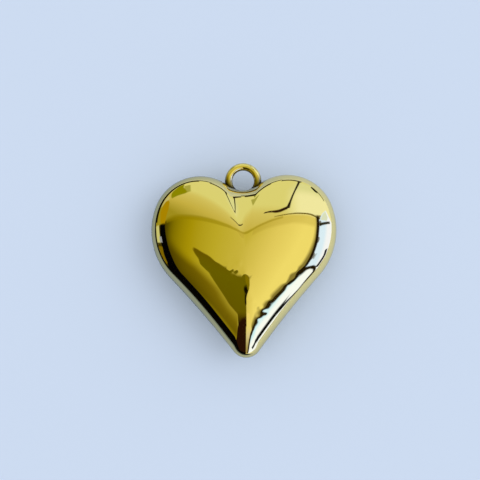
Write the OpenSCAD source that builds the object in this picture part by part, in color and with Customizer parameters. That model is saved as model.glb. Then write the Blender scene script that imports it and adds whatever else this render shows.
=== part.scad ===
// Puffed heart pendant, moulded in one piece with its hanging loop.
// It lies on its back dome: X is its width, Y runs from the tip to the loop, Z is up.
// The origin is under the middle of its bounding box, on the surface it lies on.

/* [Heart outline] */
// Width across the two lobes
heart_w = 26.2; // [23:0.1:28]
// Length from the tip to the tops of the lobes
heart_l = 25.7; // [22:0.1:32]
// Radius of each lobe over its top
lobe_r = 6.7; // [6.2:0.1:8]
// Radius of the outline at the widest part of each lobe
shoulder_r = 9.8; // [8.5:0.1:11]
// Angle above the widest point where the shoulder arc turns into the lobe arc
shoulder_end = 20; // [5:1:40]
// Radius of the slightly hollow flanks that run down to the tip
flank_r = 140; // [80:5:400]
// Radius of the rounded tip
tip_r = 2.2; // [1:0.1:3.5]
// Radius of the rim in the cleft between the lobes
cleft_r = 3.6; // [2:0.1:6]

/* [Dome] */
// Thickness from the back dome to the front dome
heart_t = 9; // [6:0.1:12]
// Distance of the crown of each dome from the tip
crown_from_tip = 15; // [12:0.1:17]
// Width of the oval that the heart melts into at the crown
crown_w = 24; // [20:0.1:27]
// Length of the oval that the heart melts into at the crown
crown_l = 25; // [20:0.1:28]
// Dent in that oval straight below the cleft, as a share of its length: it makes the crease
crown_dent = 0.42; // [0.3:0.01:0.6]
// Angle either side of the cleft, seen from the crown, over which the dent runs out
dent_span = 64; // [50:1:90]
// Width of the small flat at each crown, which the pendant lies on
crown_flat = 2.5; // [1:0.1:4]

/* [Loop] */
// Outside diameter of the loop
loop_d = 5.2; // [4.8:0.1:6.5]
// Diameter of the hole in the loop
hole_d = 3.1; // [2.4:0.1:3.6]
// Width of the straight land that the core pin leaves in the hole
hole_land = 0.5; // [0.3:0.05:0.8]
// How far the loop stands out of the cleft
loop_rise = 3.9; // [3.4:0.1:4.6]

/* [Hidden] */

// Points along each arc of half the outline, and rings from the rim to the crown's flat
tip_steps = 7;
flank_steps = 10;
shoulder_steps = 9;
shoulder_top_steps = 4;
lobe_steps = 10;
lobe_inner_steps = 7;
cleft_steps = 6;
rings = 14;

// Places measured up from the tip: the lobe's centre and the rim in the cleft.
// The cleft's arc touches both lobes, and lobes that stand apart widen it by their gap.
lobe_offset = (shoulder_r - lobe_r) * direction(shoulder_end);
lobe_x = heart_w / 2 - shoulder_r + lobe_offset[0];
lobe_up = heart_l - lobe_r;
lobe_gap = max(0, lobe_x - lobe_r);
cleft_arc_r = cleft_r + lobe_gap;
cleft_reach = sqrt(pow(lobe_r + cleft_arc_r, 2) - pow(lobe_x, 2));
cleft_up = lobe_up + cleft_reach - cleft_arc_r;
overall_l = max(heart_l, cleft_up + loop_rise);

mid_z = heart_t / 2;
tip_y = -overall_l / 2;
crown = [0, tip_y + crown_from_tip];
flat_climb = acos(crown_flat / crown_w);

// Centres of the arcs on the right half
tip_c = [0, tip_y + tip_r];
lobe_c = [lobe_x, tip_y + lobe_up];
shoulder_c = lobe_c - lobe_offset;
flank_c = apex_point(tip_c, flank_r + tip_r, shoulder_c, flank_r + shoulder_r);
cleft_c = [0, lobe_c[1] + cleft_reach];

// Angles at which the arcs meet
flank_start = angle_of(flank_c - tip_c);
flank_end = angle_of(flank_c - shoulder_c);
lobe_end = angle_of(cleft_c - lobe_c);

// The wire's section is a circle that the hole trims to a flat as wide as the land
loop_wall = (loop_d - hole_d) / 2;
wire_r = (pow(loop_wall, 2) + pow(hole_land / 2, 2)) / (2 * loop_wall);
loop_c = [0, tip_y + cleft_up + loop_rise - loop_d / 2];

function direction(a) = [cos(a), sin(a)];
function angle_of(v) = atan2(v[1], v[0]);

// The point to the right of the line from p to q, at distance a from p and b from q
function apex_point(p, a, q, b) =
    let (d = norm(q - p), along = (q - p) / d, side = [along[1], -along[0]])
    let (x = (a * a - b * b + d * d) / (2 * d))
    p + x * along + sqrt(a * a - x * x) * side;

// Points from angle a0 up to, but without, angle a1
function arc(c, r, a0, a1, steps) =
    [for (i = [0:steps - 1]) c + r * direction(a0 + (a1 - a0) * i / steps)];

// Right half of the outline, from the tip to the bottom of the cleft
half_outline = concat(
    arc(tip_c, tip_r, -90, flank_start, tip_steps),
    arc(flank_c, flank_r, 180 + flank_start, 180 + flank_end, flank_steps),
    arc(shoulder_c, shoulder_r, flank_end, 0, shoulder_steps),
    arc(shoulder_c, shoulder_r, 0, shoulder_end, shoulder_top_steps),
    arc(lobe_c, lobe_r, shoulder_end, 90, lobe_steps),
    arc(lobe_c, lobe_r, 90, lobe_end, lobe_inner_steps),
    arc(cleft_c, cleft_arc_r, lobe_end - 180, -90, cleft_steps),
    [[0, cleft_c[1] - cleft_arc_r]]
);

// The whole outline, with the points on the centre line once each
outline = concat(
    half_outline,
    [for (i = [len(half_outline) - 2:-1:1]) [-half_outline[i][0], half_outline[i][1]]]
);

// Share of the dent left in the direction of v: all of it straight up, none past the span
function dent_share(v) = 1 - sin(90 * min(1, abs(atan2(v[0], v[1])) / dent_span));

// The crown's dented oval in the direction of v
function oval(v) = (1 - crown_dent * dent_share(v)) * v / norm([2 * v[0] / crown_w, 2 * v[1] / crown_l]);

// The section is elliptical, and each ring is a blend of the heart and the crown's oval
function ring(climb) =
    let (size = cos(climb), melt = 1 - size)
    [for (p = outline)
        let (q = crown + size * ((1 - melt) * (p - crown) + melt * oval(p - crown)))
        [q[0], q[1], mid_z * (1 + sin(climb) / sin(flat_climb))]];

module puffed_heart() {
    levels = [for (k = [-rings:rings]) ring(flat_climb * k / rings)];
    n = len(levels[0]);
    m = len(levels);
    points = [for (level = levels) each level];
    sides = [for (k = [0:m - 2], i = [0:n - 1])
        let (j = (i + 1) % n)
        each [
            [k * n + i, (k + 1) * n + i, (k + 1) * n + j],
            [k * n + i, (k + 1) * n + j, k * n + j]
        ]];
    back_flat = [for (i = [0:n - 1]) i];
    front_flat = [for (i = [n - 1:-1:0]) (m - 1) * n + i];
    polyhedron(points = points, faces = concat(sides, [back_flat, front_flat]), convexity = 4);
}

module hanging_loop() {
    translate([loop_c[0], loop_c[1], mid_z])
        rotate_extrude($fn = 72)
            intersection() {
                translate([loop_d / 2 - wire_r, 0])
                    circle(r = wire_r, $fn = 32);
                translate([hole_d / 2, -wire_r])
                    square([loop_wall, 2 * wire_r]);
            }
}

// The core pin cuts the loop's hole through the rim of the heart as well
module core_pin() {
    translate([loop_c[0], loop_c[1], 0])
        cylinder(d = hole_d, h = heart_t, $fn = 72);
}

module heart_pendant() {
    color("gold")
        union() {
            difference() {
                puffed_heart();
                core_pin();
            }
            hanging_loop();
        }
}

heart_pendant();
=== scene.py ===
import math

import bpy
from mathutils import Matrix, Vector
from mathutils.bvhtree import BVHTree
from mathutils.geometry import delaunay_2d_cdt


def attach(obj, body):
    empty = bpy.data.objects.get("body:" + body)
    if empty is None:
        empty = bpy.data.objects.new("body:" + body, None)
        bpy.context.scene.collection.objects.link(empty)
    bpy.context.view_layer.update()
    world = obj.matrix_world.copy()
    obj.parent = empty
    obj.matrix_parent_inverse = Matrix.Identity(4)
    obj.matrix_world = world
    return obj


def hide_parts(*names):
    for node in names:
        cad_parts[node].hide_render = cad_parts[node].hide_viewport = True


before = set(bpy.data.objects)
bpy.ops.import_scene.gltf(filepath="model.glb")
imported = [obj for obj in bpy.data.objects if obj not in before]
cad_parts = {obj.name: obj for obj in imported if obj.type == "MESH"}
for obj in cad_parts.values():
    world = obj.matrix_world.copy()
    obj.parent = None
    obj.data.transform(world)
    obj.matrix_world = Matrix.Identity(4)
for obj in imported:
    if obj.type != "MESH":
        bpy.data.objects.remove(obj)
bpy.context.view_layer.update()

mm = 0.001               # sizes are written in millimetres, and Blender takes metres

# The pendant lies flat on its back dome: x across the lobes, y from tip to loop, z up.


def hexToLinear(hexColour):
    # the standard sRGB curve
    channels = [int(hexColour[i:i + 2], 16) / 255 for i in (1, 3, 5)]
    linear = [c / 12.92 if c <= 0.04045 else ((c + 0.055) / 1.055) ** 2.4 for c in channels]
    return (*linear, 1.0)


def addNode(tree, kind, settings=None, inputs=None):
    # settings are the node's own properties; inputs are values, or sockets to link from
    node = tree.nodes.new(kind)
    for name, value in (settings or {}).items():
        setattr(node, name, value)
    for name, value in (inputs or {}).items():
        if isinstance(value, bpy.types.NodeSocket):
            tree.links.new(value, node.inputs[name])
        else:
            node.inputs[name].default_value = value
    return node


def newMaterial(name):
    material = bpy.data.materials.new(name)
    material.use_nodes = True
    material.node_tree.nodes.clear()
    return material


def newMesh(name, points, faces):
    mesh = bpy.data.meshes.new(name)
    mesh.from_pydata(points, [], faces)
    mesh.validate()
    mesh.update()
    obj = bpy.data.objects.new(name, mesh)
    bpy.context.scene.collection.objects.link(obj)
    return obj


# Heart body
heart = {
    "width": 26.2,            # mm across the lobes
    "length": 25.7,           # mm from the tip to the lobe tops
    "thickness": 9.0,         # mm from dome to dome
    "lobeRadius": 6.7,
    "shoulderRadius": 9.8,
    "shoulderEnd": 20,        # degrees above the widest point
    "flankRadius": 140,       # the flanks are very slightly hollow
    "tipRadius": 2.2,
    "cleftRadius": 3.6,
    "crownFromTip": 15.0,
    "crownWidth": 24.0,       # the oval that the heart melts into towards each crown
    "crownLength": 25.0,
    "dent": 0.42,             # dent in that oval below the cleft, as a share of its length
    "dentSpan": 64,           # degrees either side of the cleft
    "creaseDrift": 0.33,      # mm that the crease stands left of the middle on this casting
    "creaseRound": 13,        # degrees over which its bottom rounds off below the rim
    "arcStep": 0.2,           # mm between points along the outline
    "arcFewest": 6,           # points on even the shortest arc
    "rings": 84,              # from the rim to each crown
    "flawsFrom": 20,          # degrees of climb from the rim, above which flaws stand
    "flawReach": 3,           # radii from its middle at which a flaw is over
    # low bumps (up) and shallow pits (down) in the front: x, y, radius and height in mm
    "flaws": [
        (-0.85, -0.85, 0.4, 0.016), (-1.8, -0.15, 0.5, -0.006), (-2.3, -0.9, 0.3, 0.006),
        (-2.25, -3.25, 0.32, 0.012), (-2.75, -7.9, 0.22, -0.008), (0.35, -4.7, 0.35, 0.01),
        (1.0, -5.9, 0.3, 0.012), (1.5, -6.6, 0.28, 0.014), (1.65, -8.2, 0.3, 0.018),
        (2.2, -7.05, 0.28, 0.02), (2.7, -7.5, 0.3, -0.02), (3.2, -5.9, 0.35, 0.015),
        (5.5, -3.7, 0.45, 0.016), (6.4, -2.7, 0.4, -0.014), (7.1, -2.0, 0.35, 0.014),
        (-4.1, -0.6, 0.5, 0.008), (-5.4, -0.55, 0.45, -0.007), (-4.5, -1.65, 0.4, 0.006),
        (-1.67, -1.47, 0.25, 0.012), (-1.27, -1.72, 0.25, 0.012), (-2.21, -1.79, 0.25, 0.012),
        (-0.06, -2.3, 0.28, 0.014)],
}

# Hanging loop
loop = {
    "outer": 5.2,             # mm outside diameter
    "hole": 3.1,
    "land": 0.5,              # straight wall that the core pin leaves
    "rise": 3.9,              # mm above the rim in the cleft
    "pinPast": 1,             # mm that the core pin runs past both domes
    "jointShade": 1.3,        # mm either side of the joint over which painted shade darkens the gold
    "turnSteps": 144,
    "wireSteps": 40,
}


def direction(angle):
    return Vector((math.cos(math.radians(angle)), math.sin(math.radians(angle))))


def angleOf(v):
    return math.degrees(math.atan2(v.y, v.x))


# Places on the centre line and the arc centres, all in mm
lobeOffset = (heart["shoulderRadius"] - heart["lobeRadius"]) * direction(heart["shoulderEnd"])
lobeX = heart["width"] / 2 - heart["shoulderRadius"] + lobeOffset.x
lobeUp = heart["length"] - heart["lobeRadius"]
cleftReach = math.sqrt((heart["lobeRadius"] + heart["cleftRadius"]) ** 2 - lobeX ** 2)
cleftUp = lobeUp + cleftReach - heart["cleftRadius"]
tipY = -(cleftUp + loop["rise"]) / 2
midZ = heart["thickness"] / 2
crown = Vector((0, tipY + heart["crownFromTip"]))
tipCentre = Vector((0, tipY + heart["tipRadius"]))
lobeCentre = Vector((lobeX, tipY + lobeUp))
shoulderCentre = lobeCentre - lobeOffset
cleftCentre = Vector((0, lobeCentre.y + cleftReach))
loopCentre = Vector((0, tipY + cleftUp + loop["rise"] - loop["outer"] / 2))


def flankCentre():
    # the point on the right that is one flank radius outside both the tip and the shoulder arc
    a = heart["flankRadius"] + heart["tipRadius"]
    b = heart["flankRadius"] + heart["shoulderRadius"]
    span = shoulderCentre - tipCentre
    d = span.length
    along = span / d
    x = (a * a - b * b + d * d) / (2 * d)
    return tipCentre + x * along + math.sqrt(a * a - x * x) * Vector((along.y, -along.x))


def arc(centre, radius, start, end):
    # points from the start up to, but without, the end, at most one arc step apart
    length = radius * abs(math.radians(end - start))
    count = max(heart["arcFewest"], math.ceil(length / heart["arcStep"]))
    return [centre + radius * direction(start + (end - start) * i / count) for i in range(count)]


def outline():
    # the right half from the tip to the bottom of the cleft, and then its mirror image
    flank = flankCentre()
    flankStart = angleOf(flank - tipCentre)
    flankEnd = angleOf(flank - shoulderCentre)
    lobeEnd = angleOf(cleftCentre - lobeCentre)
    half = (
        arc(tipCentre, heart["tipRadius"], -90, flankStart)
        + arc(flank, heart["flankRadius"], 180 + flankStart, 180 + flankEnd)
        + arc(shoulderCentre, heart["shoulderRadius"], flankEnd, 0)
        + arc(shoulderCentre, heart["shoulderRadius"], 0, heart["shoulderEnd"])
        + arc(lobeCentre, heart["lobeRadius"], heart["shoulderEnd"], 90)
        + arc(lobeCentre, heart["lobeRadius"], 90, lobeEnd)
        + arc(cleftCentre, heart["cleftRadius"], lobeEnd - 180, -90)
        + [cleftCentre - Vector((0, heart["cleftRadius"]))]
    )
    return half + [Vector((-p.x, p.y)) for p in half[-2:0:-1]]


def flawAt(x, y):
    # how far the flaws raise the front here, in mm
    height = 0
    for flawX, flawY, radius, rise in heart["flaws"]:
        away = ((x - flawX) ** 2 + (y - flawY) ** 2) / radius ** 2
        height += rise * math.exp(-away) if away < heart["flawReach"] ** 2 else 0
    return height


def ring(rim, climb):
    # the section is elliptical, and each ring blends the heart with the crown's dented oval
    size = math.cos(math.radians(climb))
    melt = 1 - size
    z = midZ * (1 + math.sin(math.radians(climb)))
    drift = heart["creaseDrift"] * math.sin(math.radians(2 * abs(climb)))
    points = []
    for p in rim:
        v = p - crown
        offCleft = math.hypot(math.degrees(math.atan2(v.x, v.y)), heart["creaseRound"] * melt)
        share = 1 - math.sin(math.radians(90 * min(1, offCleft / heart["dentSpan"])))
        oval = v / Vector((2 * v.x / heart["crownWidth"], 2 * v.y / heart["crownLength"])).length
        oval *= 1 - heart["dent"] * share
        q = crown + size * ((1 - melt) * v + melt * oval)
        x = q.x - drift * share ** 2
        flaw = flawAt(x, q.y) if climb > heart["flawsFrom"] else 0
        points.append((x * mm, q.y * mm, (z + flaw) * mm))
    return points


def makeHeart():
    rim = outline()
    n = heart["rings"]
    rings = [ring(rim, 90 * k / n) for k in range(1 - n, n)]
    around = len(rings[0])
    points = [p for level in rings for p in level]
    back = len(points)        # the two crown points come last
    points += [(0, crown.y * mm, 0), (0, crown.y * mm, heart["thickness"] * mm)]
    faces = []
    for k in range(len(rings) - 1):
        for i in range(around):
            j = (i + 1) % around
            faces.append((k * around + i, k * around + j, (k + 1) * around + j, (k + 1) * around + i))
    top = (len(rings) - 1) * around
    for i in range(around):
        j = (i + 1) % around
        faces.append((back, j, i))
        faces.append((back + 1, top + i, top + j))
    return newMesh("heartBody", points, faces)


def makeLoop():
    # a round wire whose inside is trimmed to a short straight land
    wall = (loop["outer"] - loop["hole"]) / 2
    wire = (wall ** 2 + (loop["land"] / 2) ** 2) / (2 * wall)
    middle = loop["outer"] / 2 - wire
    cut = math.degrees(math.asin(loop["land"] / 2 / wire))
    start = -180 + cut
    section = []
    for i in range(loop["wireSteps"] + 1):
        a = math.radians(start + (360 - 2 * cut) * i / loop["wireSteps"])
        section.append((middle + wire * math.cos(a), wire * math.sin(a)))
    points = []
    for t in range(loop["turnSteps"]):
        d = direction(360 * t / loop["turnSteps"])
        for r, z in section:
            points.append(((loopCentre.x + r * d.x) * mm, (loopCentre.y + r * d.y) * mm, (midZ + z) * mm))
    m = len(section)
    faces = []
    for t in range(loop["turnSteps"]):
        u = (t + 1) % loop["turnSteps"]
        for i in range(m):
            j = (i + 1) % m
            faces.append((t * m + i, u * m + i, u * m + j, t * m + j))
    return newMesh("hangingLoop", points, faces)


def makeCorePin():
    # the straight pin that leaves the loop's hole, and cuts the rim of the heart as well
    n = loop["turnSteps"]
    r = loop["hole"] / 2
    points = []
    for z in (-loop["pinPast"], heart["thickness"] + loop["pinPast"]):
        for t in range(n):
            d = direction(360 * t / n)
            points.append(((loopCentre.x + r * d.x) * mm, (loopCentre.y + r * d.y) * mm, z * mm))
    faces = [tuple(range(n - 1, -1, -1)), tuple(range(n, 2 * n))]
    for i in range(n):
        j = (i + 1) % n
        faces.append((i, j, n + j, n + i))
    return newMesh("corePin", points, faces)


def combine(target, tool, operation):
    boolean = target.modifiers.new(operation, "BOOLEAN")
    boolean.operation = operation
    boolean.object = tool
    boolean.solver = "EXACT"
    depsgraph = bpy.context.evaluated_depsgraph_get()
    mesh = bpy.data.meshes.new_from_object(target.evaluated_get(depsgraph))
    target.modifiers.clear()
    target.data = mesh
    bpy.data.objects.remove(tool)


def surfaceOf(obj):
    points = [v.co for v in obj.data.vertices]
    return BVHTree.FromPolygons(points, [f.vertices for f in obj.data.polygons])


def markJoint(obj, surfaces, reach):
    # how near each point lies to the line where the loop and the heart meet, for the painted shade there
    marks = []
    for v in obj.data.vertices:
        away = max(surface.find_nearest(v.co)[3] for surface in surfaces)
        marks.append(max(0, 1 - away / reach))
    obj.data.attributes.new("joint", "FLOAT", "POINT").data.foreach_set("value", marks)


pendant = makeHeart()
heartSurface = surfaceOf(pendant)
combine(pendant, makeCorePin(), "DIFFERENCE")
hangingLoop = makeLoop()
loopSurface = surfaceOf(hangingLoop)
combine(pendant, hangingLoop, "UNION")
markJoint(pendant, [heartSurface, loopSurface], loop["jointShade"] * mm)
pendant.name = "heartPendant"
for face in pendant.data.polygons:
    face.use_smooth = True
print("pendant", len(pendant.data.vertices), "vertices", len(pendant.data.polygons), "faces")


# Gold electroplated on an ABS moulding from a polished tool: a full mirror, faintly rippled as the
# plastic under it is, with painted shade in dark brown in the corners by the loop.
plating = {
    "gold": "#F7E295",
    "paintedJointShade": "#1E1508",   # painted shade in the corner where the loop joins
    "roughness": 0.035,
    "rippleSize": 3.0,        # mm between ripples
    "rippleDepth": 0.006,
}


def goldPlating():
    material = newMaterial("goldPlatedMoulding")
    tree = material.node_tree
    place = addNode(tree, "ShaderNodeTexCoord")
    ripple = addNode(tree, "ShaderNodeTexNoise", inputs={
        "Vector": place.outputs["Object"], "Scale": 1 / (plating["rippleSize"] * mm), "Detail": 1.0})
    bump = addNode(tree, "ShaderNodeBump", inputs={
        "Strength": 1.0, "Distance": plating["rippleDepth"] * mm, "Height": ripple.outputs["Fac"]})
    # the joint share mixes the painted shade into the gold near the loop
    joint = addNode(tree, "ShaderNodeAttribute", {"attribute_name": "joint"})
    # sockets 0, 6 and 7 of a colour mix are its share and its two colours
    colour = addNode(tree, "ShaderNodeMix", {"data_type": "RGBA"}, {
        0: joint.outputs["Fac"], 6: hexToLinear(plating["gold"]), 7: hexToLinear(plating["paintedJointShade"])})
    shader = addNode(tree, "ShaderNodeBsdfPrincipled", inputs={
        "Base Color": colour.outputs[2], "Metallic": 1.0, "Roughness": plating["roughness"],
        "Normal": bump.outputs["Normal"]})
    addNode(tree, "ShaderNodeOutputMaterial", inputs={"Surface": shader.outputs["BSDF"]})
    return material


pendant.data.materials.clear()
pendant.data.materials.append(goldPlating())
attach(pendant, "root")
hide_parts("heart_pendant")
print("plating done")


# Studio: a pale paper floor in plain soft light, and the room that the gold mirrors. Cards and
# bars hang on a dome over the pendant, in layers, and a higher layer hides a lower one.
studio = {
    "paper": "#CDDCF2",
    "paperRoughness": 0.9,
    "paperSpecular": 0.1,
    "paperSize": 3000,        # mm
    "skyLight": "#FFFFFF",
    "skyStrength": 0.9,
    "roomRadius": 900,        # mm
    "layerGap": 0.005,        # between layers, as a share of that radius
    "barLayer": 24,           # of the first bar, in front of all cards
    "lowest": 89.9,           # the most degrees from straight above that anything hangs at
    "discStep": 4,            # degrees between the corners of a disc
    "fineStep": 2,            # degrees between the points of a card
    "coarseStep": 3,          # the same on a card with a wide edge
    "wideEdge": 3,            # an edge over this many degrees is wide
    "gridClear": 0.4,         # degrees from the border to the nearest point of the grid
    "rowError": 0.2,          # degrees that a point may stand off the line where a fade ends
    "joinBelow": 0.01,        # points nearer than this many degrees are one
}

# Parts of the room as the mirror shows them. Corners are degrees right of and up from straight
# above, and up is towards the loop. The glow is one colour, or stops along the card at a slant,
# in degrees too. The level multiplies it, the border fades over as many degrees as edge says, and
# cover is the share that the card hides of what hangs behind it. Level and cover are 1 where they
# aren't given.
cards = {
    "wall": {
        "edge": 0, "slant": 60, "disc": 90,
        "glow": [(1, "#A49F37"), (16, "#CCC575"), (30, "#D9D89E"), (38, "#E2EBC2"), (70, "#E2EBC6")]},
    "wallRight": {
        "level": 1.14, "edge": 16, "slant": 90,
        "glow": [(44, "#EAF6FE"), (58, "#D5E4DD")],
        "corners": [(20, 6), (34, 0), (62, 0), (100, 10), (90, 50), (64, 76), (26, 86), (14, 58)]},
    "ceiling": {
        "edge": 2.5, "slant": -20,
        "glow": [
            (-62, "#453E00"), (-55, "#5A5500"), (-47, "#847D00"), (-32, "#ACA314"), (-17, "#C2BD47"),
            (-2, "#CFCA6E"), (13, "#E7E29B"), (30, "#F7F5B5")],
        "corners": [
            (-60, 21), (-45, 23), (-30, 24.5), (-20, 25), (-10, 24.5), (0, 23.5), (10, 24.5),
            (20, 26), (28, 25), (40, 23), (50, 20.5), (54, 19), (60, -30), (30, -92), (-30, -92),
            (-92, -30), (-92, 14)]},
    "lowLeftShade": {
        "edge": 16, "cover": 0.9, "slant": 0,
        "glow": [(-56, "#4C4400"), (-44, "#5E5400"), (-32, "#6E6200")],
        "corners": [(-74, 16), (-47, 6), (-14.5, -21), (-24, -60), (-74, -52)]},
    "sideBright": {
        "level": 2.95, "edge": 1, "slant": 0,
        "glow": [(64, "#8AA5FF"), (72, "#9CABFD")],
        "corners": [
            (52, 18), (60, 25), (70, 30), (77, 24), (88, 18), (89, 0), (86, -25), (74, -48),
            (60, -35), (50, -29), (51, -8)]},
    "shelfGlow": {
        "level": 1.6, "edge": 1, "glow": "#B6CCFF",
        "corners": [(54, 17.5), (60, 24), (68, 28.5), (74, 22), (70, 17.5)]},
    "window": {
        "level": 2.84, "edge": 1, "slant": -60,
        "glow": [(50, "#84AAFF"), (57, "#A2B3FF")],
        "corners": [
            (21, -38.5), (31, -34), (43, -31), (51, -29), (61, -32), (70, -36), (80, -40),
            (70, -55), (50, -74), (28, -84), (8, -89), (9, -75), (10, -60.5), (11.5, -51),
            (14.5, -44)]},
    "strip": {
        "edge": 1, "slant": 90,
        "glow": [
            (-75, "#A09575"), (-65, "#A6A182"), (-55, "#BAB9AE"), (-45, "#DCDCDF"),
            (-35, "#F0ECBA"), (-27, "#F3ECB0")],
        "corners": [
            (2, -26), (9, -26), (17.5, -39.5), (14.5, -44), (11.5, -51), (10, -60.5), (9, -75),
            (8, -88), (-2, -88), (0, -50)]},
    "cameraShade": {
        "edge": 1, "slant": 90,
        "glow": [
            (-34, "#1C1000"), (-29, "#544A00"), (-26, "#666200"), (-12, "#6A6800"),
            (-6, "#6A6400"), (0, "#685C00")],
        "corners": [
            (-32, 2), (-29, 2), (-27, 1.2), (-24.5, -0.2), (-21.5, -1.4), (-19.5, -2.8),
            (-16.5, -4.8), (-14, -6), (-11.5, -7.3), (-9.5, -9.1), (-6.5, -8.9), (-4.4, -7.6),
            (0, -7.7), (4, -7.5), (8, -9), (8.5, -13), (5, -15.5), (2.2, -17), (2.2, -36),
            (-24, -36), (-24.5, -31), (-24.5, -28), (-24, -25), (-25.3, -21), (-27, -16),
            (-29.5, -12), (-29.5, -7), (-31, -3)]},
    "cameraCorner": {
        "edge": 1.2, "cover": 0.8, "glow": "#857C00",
        "corners": [(-1, -8.5), (4, -8), (8, -9.5), (8, -13), (4.5, -14.5), (1, -12)]},
    "tableDark": {
        "edge": 2, "glow": "#28140A",
        "corners": [
            (2.2, -28), (1, -50), (-1, -89), (-25, -85), (-48, -74), (-60, -60), (-55, -54),
            (-45, -50), (-37, -44), (-28.5, -35.5), (-18, -32), (-8, -29)]},
    "lens": {
        "edge": 1.2, "glow": "#0A0600",
        "corners": [
            (-3, -15), (-2, -13), (2, -12), (4.8, -13.5), (4.5, -17), (2.5, -19), (3, -23),
            (-1.5, -23), (-1.5, -18)]},
    "leftDark": {
        "edge": 1, "glow": "#03030A",
        "corners": [
            (-71, 18), (-58, 17), (-58, -5), (-58, -25), (-57, -40), (-50, -48), (-42, -55),
            (-36, -68), (-30, -84), (-48, -76), (-65, -62), (-80, -38), (-78, -20), (-75, -8),
            (-73, 5)]},
    "leftPatch": {
        "edge": 1.5, "glow": "#AE9500",
        "corners": [(-70, 18), (-58, 17), (-52, 33), (-52, 42), (-57, 50), (-66, 44), (-74, 32)]},
    "leftWhite": {
        "edge": 2, "glow": "#C8CCB4",
        "corners": [(-52, 49), (-56, 46), (-62, 46), (-72, 38), (-75, 40), (-66, 55), (-60, 60)]},
    "leftLow": {
        "edge": 1.5, "glow": "#807006",
        "corners": [(-72, -6), (-75, -18), (-76, -30), (-82, -36), (-88, -22), (-89, -8)]},
    "leftPale": {
        "edge": 1.5, "glow": "#D1DDC1",
        "corners": [(-74, 18), (-73, -3), (-89, -5), (-88, 18)]},
    "leftSpot": {
        "edge": 1, "glow": "#9CABFB",
        "corners": [(-77, -3), (-69, -2), (-69, 5), (-77, 5)]},
    "olivePatch": {
        "edge": 1.5, "glow": "#8F9700",
        "corners": [
            (-50, 47), (-31, 51), (-28, 54), (-31, 62), (-34, 68), (-34, 80), (-44, 76),
            (-53, 66), (-55, 60), (-53, 52)]},
    "olivePale": {
        "edge": 1.5, "cover": 0.7, "glow": "#8F9700",
        "corners": [(-32, 51), (-24, 55), (-24, 74), (-35, 72)]},
    "switch": {
        "edge": 1, "glow": "#050503",
        "corners": [(49, 66), (53, 72), (62, 62), (60, 55), (54, 57)]},
}

# Lines across the room, as a path with a width in degrees, or one width for each of its points.
# Half the width fades out, and cover is as for the cards. Only the wall's shade gives its layer:
# it hangs behind the window.
bars = {
    # painted shade: a darker band below the seam of wall and ceiling
    "seamShade": {
        "width": [6, 6, 6, 5.5, 4.5, 3.5, 2.5, 2.5], "colour": "#968D00", "cover": 0.55,
        "path": [
            (-56, 20), (-45, 21.5), (-30, 22.5), (-20, 22.5), (-8, 21), (0, 20.5), (10, 22),
            (20, 23)]},
    # painted shade: a fainter darker band below that seam on the right
    "seamShadeRight": {
        "width": 9, "colour": "#B8AC50", "cover": 0.35,
        "path": [(2, 18), (12, 20), (28, 20), (48, 16)]},
    "ceilingEdge": {
        "width": [0.8, 1.4, 1.8, 1.8, 1.8], "colour": "#6E6616",
        "path": [(14, 25), (28, 24.5), (40, 22.5), (50, 20), (55, 19)]},
    "wallShade": {
        "layer": 2.5, "width": 17, "colour": "#5A5014", "cover": 0.8,
        "path": [
            (55, 22), (55, 8), (53, -6), (49, -22), (43, -29.5), (31, -33.5), (21, -37.5),
            (12.5, -45)]},
    "wallEdge": {
        "width": 5.5, "colour": "#1E1403",
        "path": [(51, 21), (52, 8), (52, -8), (50, -24), (44.5, -30.5)]},
    "shelf": {
        "width": 3.4, "colour": "#2A2A1E",
        "path": [(54, 14), (66, 15.5), (80, 17)]},
    "windowTop": {
        "width": 7.5, "colour": "#2A2102",
        "path": [
            (45, -31), (31, -34), (21, -38.5), (14.5, -44), (11.5, -51), (10, -60.5), (9, -75),
            (7, -88)]},
    "windowSide": {
        "width": 7, "colour": "#201804",
        "path": [(44.5, -30), (51, -29), (61, -32), (68, -37), (72, -44), (72, -50)]},
    "sash": {
        "width": 5, "colour": "#080602",
        "path": [(55, -49), (65, -52), (78, -55)]},
    "plant": {
        "width": 12, "colour": "#050503",
        "path": [(60, -50), (52, -51), (45, -54), (40, -55), (35, -61), (26, -69)]},
    "sideFrame": {
        "width": 10, "colour": "#050503",
        "path": [(79, -14), (80, -22), (76, -30), (72, -38)]},
    "skirting": {
        "width": 11, "colour": "#060603",
        "path": [(-86, 22), (-79, 43), (-67, 60), (-56, 71), (-46, 79), (-36, 84)]},
    "skirtingFar": {
        "width": 7, "colour": "#3A320C",
        "path": [(-38, 82), (-25, 86.5), (-12, 88.5)]},
    "farCorner": {
        "width": 8, "colour": "#2E2206",
        "path": [(6, 88.5), (20, 86), (30, 82.5), (37, 79)]},
    "deskEdge": {
        "width": 14, "colour": "#060503",
        "path": [(-81, -37), (-72, -51), (-61, -63), (-45, -75), (-25, -84), (-2, -88)]},
    "switchCord": {
        "width": 3.6, "colour": "#14140D",
        "path": [(60, 62), (68, 52), (72, 45)]},
    "lampFoot": {
        "width": [1.6, 2, 2.4, 3.6, 4.2, 4], "colour": "#2A1003",
        "path": [(4, 33), (8, 32), (11.5, 30.8), (14.5, 29.7), (17, 29.6), (21.5, 31.2)]},
    "lampStand": {
        "width": [3.8, 2.4, 2.3, 2.4, 3.2, 4.2, 6], "colour": "#1A0E05",
        "path": [
            (21.9, 30.5), (22.7, 37.4), (23.8, 44), (25.4, 52), (27.6, 60.5), (31, 72.5),
            (33.5, 82)]},
}

# The dark desk past the sheet, which only the mirror sees
desk = {
    "colour": "#0A0806",
    "height": 0.1,            # mm above the floor
    "corners": [              # x and y in mm
        (12, -38), (6, -36), (-8, -31), (-25, -22), (-42, -6), (-50, 14), (-50, 40), (-38, 62),
        (-16, 84), (14, 110), (40, 900), (-900, 900), (-900, -900), (14, -900)],
}

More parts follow.
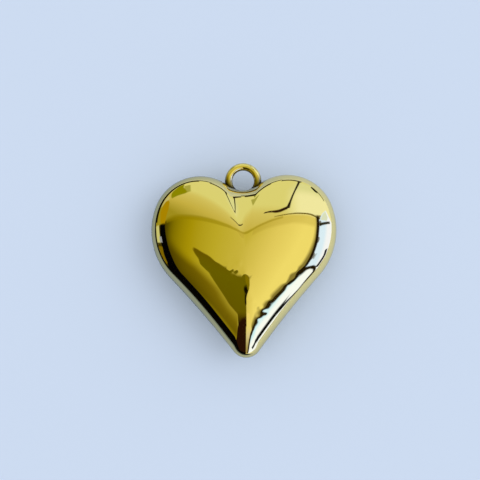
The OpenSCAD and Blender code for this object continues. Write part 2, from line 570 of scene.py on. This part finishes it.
# The pendant's shade on the sheet, which only the mirror sees. The window is at the right, so
# the shade is thinner on that side.
sheetShade = {
    "height": 0.15,           # mm above the floor
    "outlineStep": 4,         # it takes one in four of the outline's points
    "turnAcross": 0.6375,     # how fast the cover changes from left to right
    "turnUp": 0.075,          # and from the tip to the loop
    # mm out from the outline, colour, cover on the left and cover on the right
    "rings": [
        (-4, "#14161A", 1.0, 1.0), (0, "#1C2026", 1.0, 0.9), (0.8, "#4A566A", 1.0, 0.7),
        (2.2, "#6C7EA0", 0.95, 0.35), (5, "#7E94BF", 0.85, 0.15), (14, "#7E94BF", 0.8, 0.0),
        (40, "#7E94BF", 0.75, 0.0)],
}


def roomPoint(right, up, layer):
    # a place on the dome from degrees right of and up from straight above
    radius = studio["roomRadius"] * mm * (1 - studio["layerGap"] * layer)
    lean = math.radians(min(math.hypot(right, up), studio["lowest"]))
    turn = math.atan2(up, right)
    out = math.sin(lean)
    return Vector((out * math.cos(turn), out * math.sin(turn), math.cos(lean))) * radius


def glowMaterial(name, level):
    # the light of a part of the room: its colour and cover come from the mesh's own points
    material = newMaterial(name)
    tree = material.node_tree
    paint = addNode(tree, "ShaderNodeAttribute", {"attribute_name": "glow"})
    light = addNode(tree, "ShaderNodeEmission", inputs={
        "Color": paint.outputs["Color"], "Strength": level})
    clear = addNode(tree, "ShaderNodeBsdfTransparent")
    mix = addNode(tree, "ShaderNodeMixShader", inputs={
        0: paint.outputs["Alpha"], 1: clear.outputs["BSDF"], 2: light.outputs["Emission"]})
    addNode(tree, "ShaderNodeOutputMaterial", inputs={"Surface": mix.outputs["Shader"]})
    return material


def hangInRoom(obj, colours, level=1.0):
    # the room shows in the mirror only: the floor takes its light from the plain sky
    paint = obj.data.attributes.new("glow", "FLOAT_COLOR", "POINT")
    paint.data.foreach_set("color", [c for colour in colours for c in colour])
    obj.data.materials.append(glowMaterial(obj.name, level))
    obj.visible_camera = False
    obj.visible_diffuse = False
    obj.visible_transmission = False
    obj.visible_shadow = False


def glowAt(card, x, y):
    # the card's one colour, or the blend of the two stops that the place lies between
    if isinstance(card["glow"], str):
        return hexToLinear(card["glow"])
    slant = math.radians(card["slant"])
    s = x * math.cos(slant) + y * math.sin(slant)
    stops = card["glow"]
    if s <= stops[0][0]:
        return hexToLinear(stops[0][1])
    for (s0, c0), (s1, c1) in zip(stops, stops[1:]):
        if s <= s1:
            t = (s - s0) / (s1 - s0)
            return tuple(a + (b - a) * t for a, b in zip(hexToLinear(c0), hexToLinear(c1)))
    return hexToLinear(stops[-1][1])


def cornersOf(card):
    # a disc's border is worked out, and every other card gives its corners
    if "corners" in card:
        return card["corners"]
    angles = [math.radians(a) for a in range(0, 360, studio["discStep"])]
    return [(card["disc"] * math.cos(a), card["disc"] * math.sin(a)) for a in angles]


def edgeDistance(x, y, corners):
    # how far the place lies inside the card, below zero outside it
    inside = False
    nearest = math.inf
    for i, (x1, y1) in enumerate(corners):
        x0, y0 = corners[i - 1]
        if (y0 > y) != (y1 > y) and x < x0 + (x1 - x0) * (y - y0) / (y1 - y0):
            inside = not inside
        t = ((x - x0) * (x1 - x0) + (y - y0) * (y1 - y0)) / ((x1 - x0) ** 2 + (y1 - y0) ** 2)
        t = min(1, max(0, t))
        nearest = min(nearest, math.hypot(x - x0 - (x1 - x0) * t, y - y0 - (y1 - y0) * t))
    return nearest if inside else -nearest


def borderOf(corners, step):
    # points along the card's border, at most one step apart
    border = []
    for i, (x1, y1) in enumerate(corners):
        x0, y0 = corners[i - 1]
        cuts = max(1, math.ceil(math.hypot(x1 - x0, y1 - y0) / step))
        for t in range(cuts):
            border.append(Vector((x0 + (x1 - x0) * t / cuts, y0 + (y1 - y0) * t / cuts)))
    return border


def gridIn(corners, step):
    # a staggered grid of points inside the card
    left = min(x for x, y in corners)
    low = min(y for x, y in corners)
    columns = int((max(x for x, y in corners) - left) / step) + 1
    rows = int((max(y for x, y in corners) - low) / step) + 1
    grid = []
    for i in range(columns):
        for j in range(rows):
            x = left + (i + 0.5 * (j % 2)) * step
            y = low + j * step
            if edgeDistance(x, y, corners) > studio["gridClear"]:
                grid.append(Vector((x, y)))
    return grid


def fadeRow(border, corners, edge):
    # a row of points where a narrow fade ends keeps it even
    row = []
    for i, p in enumerate(border):
        q = border[(i + 1) % len(border)]
        along = (q - p).normalized()
        for side in (1, -1):
            inner = (p + q) / 2 + side * edge * Vector((-along.y, along.x))
            if abs(edgeDistance(inner.x, inner.y, corners) - edge) < studio["rowError"]:
                row.append(inner)
    return row


def makeCard(name, card, layer):
    corners = cornersOf(card)
    edge = card["edge"]
    wide = edge > studio["wideEdge"]
    step = studio["coarseStep"] if wide else studio["fineStep"]
    border = borderOf(corners, step)
    places = border + gridIn(corners, step)
    if edge and not wide:
        places += fadeRow(border, corners, edge)
    lines = [(i, (i + 1) % len(border)) for i in range(len(border))]
    # output type 1 keeps the triangles inside the border
    flat, _, faces, _, _, _ = delaunay_2d_cdt(places, lines, [], 1, studio["joinBelow"])
    colours = []
    for p in flat:
        share = min(1, max(0, edgeDistance(p.x, p.y, corners) / edge)) if edge else 1.0
        if wide:
            share = share * share * (3 - 2 * share)      # soft at both ends of the fade
        colours.append((*glowAt(card, p.x, p.y)[:3], share * card.get("cover", 1.0)))
    points = [roomPoint(p.x, p.y, layer) for p in flat]
    hangInRoom(newMesh(name, points, faces), colours, card.get("level", 1.0))


def makeBar(name, bar, layer):
    # four points across the bar at each point of its path: the outer two are clear
    points = []
    colours = []
    path = [Vector(p) for p in bar["path"]]
    cover = bar.get("cover", 1.0)
    for i, p in enumerate(path):
        ahead = (path[min(i + 1, len(path) - 1)] - path[max(i - 1, 0)]).normalized()
        width = bar["width"][i] if isinstance(bar["width"], list) else bar["width"]
        side = Vector((-ahead.y, ahead.x)) * width / 4
        for k, share in ((2, 0.0), (1, cover), (-1, cover), (-2, 0.0)):
            points.append(roomPoint(*(p + k * side), layer))
            colours.append((*hexToLinear(bar["colour"])[:3], share))
    faces = []
    for i in range(len(path) - 1):
        for k in range(3):
            faces.append((4 * i + k, 4 * i + k + 1, 4 * i + k + 5, 4 * i + k + 4))
    hangInRoom(newMesh(name, points, faces), colours)


def makeDesk():
    points = [(x * mm, y * mm, desk["height"] * mm) for x, y in desk["corners"]]
    top = newMesh("darkDesk", points, [tuple(range(len(points)))])
    hangInRoom(top, [hexToLinear(desk["colour"])] * len(points))


def makeSheetShade():
    rim = outline()[::sheetShade["outlineStep"]]
    points = []
    colours = []
    for out, colour, left, right in sheetShade["rings"]:
        for p in rim:
            v = p - crown
            place = crown + v * (1 + out / v.length)
            turn = (v.x * sheetShade["turnAcross"] + v.y * sheetShade["turnUp"]) / v.length
            side = min(1, max(0, 0.5 + turn))      # 0 at the left, 1 at the right
            points.append((place.x * mm, place.y * mm, sheetShade["height"] * mm))
            colours.append((*hexToLinear(colour)[:3], left + (right - left) * side))
    n = len(rim)
    faces = [tuple(range(n))]
    for k in range(len(sheetShade["rings"]) - 1):
        for i in range(n):
            j = (i + 1) % n
            faces.append((k * n + i, (k + 1) * n + i, (k + 1) * n + j, k * n + j))
    hangInRoom(newMesh("sheetShade", points, faces), colours)


def palePaper():
    # uncoated writing paper: matt, with next to no shine, and a cool white by a window
    material = newMaterial("palePaper")
    tree = material.node_tree
    shader = addNode(tree, "ShaderNodeBsdfPrincipled", inputs={
        "Base Color": hexToLinear(studio["paper"]), "Roughness": studio["paperRoughness"],
        "Specular IOR Level": studio["paperSpecular"]})
    addNode(tree, "ShaderNodeOutputMaterial", inputs={"Surface": shader.outputs["BSDF"]})
    return material


def makeFloor():
    h = studio["paperSize"] * mm / 2
    floor = newMesh("floor", [(-h, -h, 0), (h, -h, 0), (h, h, 0), (-h, h, 0)], [(0, 1, 2, 3)])
    floor.data.materials.append(palePaper())


def makeSky():
    world = bpy.data.worlds.new("studioWorld")
    world.use_nodes = True
    sky = world.node_tree.nodes["Background"]
    sky.inputs["Color"].default_value = hexToLinear(studio["skyLight"])
    sky.inputs["Strength"].default_value = studio["skyStrength"]
    bpy.context.scene.world = world


makeFloor()
makeDesk()
makeSheetShade()
for layer, (name, card) in enumerate(cards.items()):
    makeCard(name, card, layer)
for layer, (name, bar) in enumerate(bars.items(), studio["barLayer"]):
    makeBar(name, bar, bar.get("layer", layer))
makeSky()
print("studio done", len(cards), "cards", len(bars), "bars")


# A very soft lamp on the window's side gives the pendant its faint shadow
softLamp = {
    "turn": (-8, 42, 0),      # degrees about x, y and z
    "energy": 0.4,
    "angle": 40,              # degrees across
}


def makeLamp():
    lamp = bpy.data.objects.new("softLamp", bpy.data.lights.new("softLamp", "SUN"))
    bpy.context.scene.collection.objects.link(lamp)
    lamp.rotation_euler = [math.radians(a) for a in softLamp["turn"]]
    lamp.data.energy = softLamp["energy"]
    lamp.data.angle = math.radians(softLamp["angle"])
    lamp.visible_glossy = False      # the gold doesn't mirror it


makeLamp()
bpy.context.scene.view_settings.view_transform = "Standard"
print("light done")


# Camera: where the photograph was taken from, a little to the tip's side
view = {
    "spot": (-1.88, -6.85, 103.13),   # mm
    "turn": (5.56, -0.64, -1.06),     # degrees about x, y and z
    "lens": 52.5,                     # mm
    "sensor": 36,                     # mm
    "nearest": 1,                     # mm from the camera, where the picture starts
}


def makeCamera():
    camera = bpy.data.objects.new("camera", bpy.data.cameras.new("camera"))
    bpy.context.scene.collection.objects.link(camera)
    camera.location = Vector(view["spot"]) * mm
    camera.rotation_euler = [math.radians(a) for a in view["turn"]]
    camera.data.sensor_width = view["sensor"]
    camera.data.lens = view["lens"]
    camera.data.clip_start = view["nearest"] * mm
    bpy.context.scene.camera = camera


makeCamera()
print("camera done")
